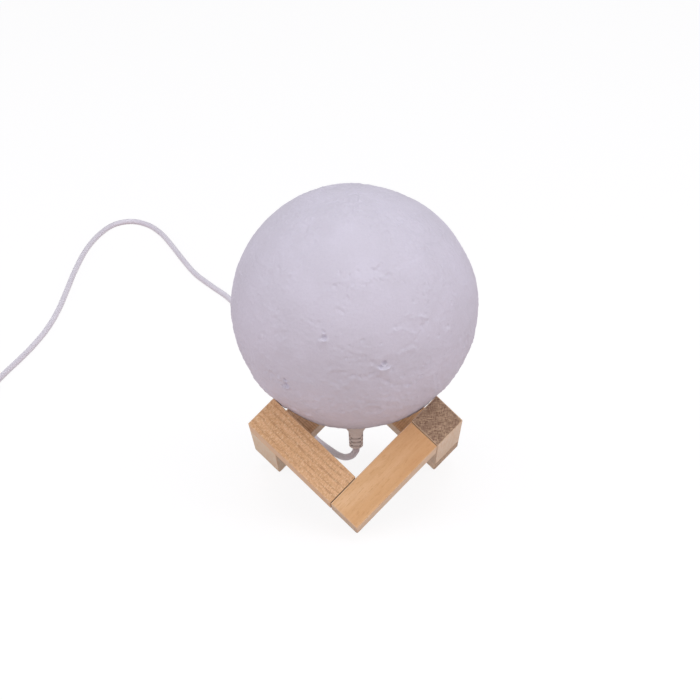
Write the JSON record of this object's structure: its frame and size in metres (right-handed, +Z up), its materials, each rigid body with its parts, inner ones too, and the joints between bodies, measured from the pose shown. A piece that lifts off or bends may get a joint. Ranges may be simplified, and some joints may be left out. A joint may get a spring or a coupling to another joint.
{
  "type": "moon lamp",
  "caption": "Round printed moon ball lamp resting on an open zigzag ring of square wooden sticks, with a charging cord plugged in underneath.",
  "frame": {"origin": "on the table, straight under the middle of the ball and the centre of the stand", "axes": "+Z up; the pictured side looks along +Y from -Y; +X to the right in the picture"},
  "size_m": [0.4008, 0.565, 0.2015],
  "materials": {
    "moon_print": "3D-printed, finely layered, matt",
    "white_plastic": "moulded, matt",
    "black_plastic": "moulded, satin",
    "steel": "plated, satin",
    "contact_metal": "gold flash",
    "board_green": "lacquered board",
    "board_white": "lacquered board",
    "clear_plastic": "clear moulded",
    "frosted_plastic": "frosted",
    "battery_wrap": "foil pouch",
    "foam": "closed-cell foam",
    "led_yellow": "phosphor",
    "wire_red": "insulated wire",
    "cord_vinyl": "soft vinyl, satin",
    "plated_metal": "bright plated",
    "wood_sawn": "sawn beech, raw",
    "wood_smooth": "planed beech, raw",
    "wood_brown": "planed beech, darker board",
    "wood_dowel": "turned",
    "strap_fabric": "hook-and-loop strap"
  },
  "bodies": {
    "stand": {"upper_stick_left": "wood_sawn", "upper_stick_right": "wood_brown", "upper_stick_back": "wood_brown", "foot_stick_front": "wood_smooth", "foot_stick_left": "wood_smooth", "foot_stick_right": "wood_brown", "stand_dowels": "wood_dowel", "cord_run": "cord_vinyl", "cord_coil": "cord_vinyl", "cord_tail": "cord_vinyl", "cord_tie": "strap_fabric", "usb_grip": "cord_vinyl", "usb_shell": "plated_metal", "usb_tongue": "white_plastic", "usb_contacts": "contact_metal"},
    "plug": {"plug_body": "cord_vinyl", "plug_relief": "cord_vinyl", "plug_barrel": "plated_metal", "plug_insulator": "black_plastic"},
    "moon": {"moon_shell": "moon_print", "base_housing": "white_plastic", "base_cover": "white_plastic", "cover_screws": "steel", "socket_body": "black_plastic", "socket_pin": "contact_metal", "circuit_board": "board_green", "board_parts": "black_plastic", "button_switch": "black_plastic", "indicator_pipe": "clear_plastic", "battery": "battery_wrap", "battery_pads": "foam", "light_board": "board_white", "light_chips": "led_yellow", "light_screws": "steel", "light_diffuser": "frosted_plastic", "inner_wires": "wire_red"},
    "button": {"power_button": "white_plastic"}
  },
  "joints": [
    {"name": "moon_lift", "type": "slide", "parent": "stand", "child": "plug", "axis": [0, 0, 1], "range_m": [0, 0.06]},
    {"name": "moon_turn", "type": "hinge", "parent": "plug", "child": "moon", "pos_m": [0, 0, 0.055], "axis": [0, 0, 1], "continuous": true},
    {"name": "button_press", "type": "slide", "parent": "moon", "child": "button", "axis": [0, 0, 1], "range_m": [0, 0.0006], "stiffness_N_per_m": 300}
  ]
}
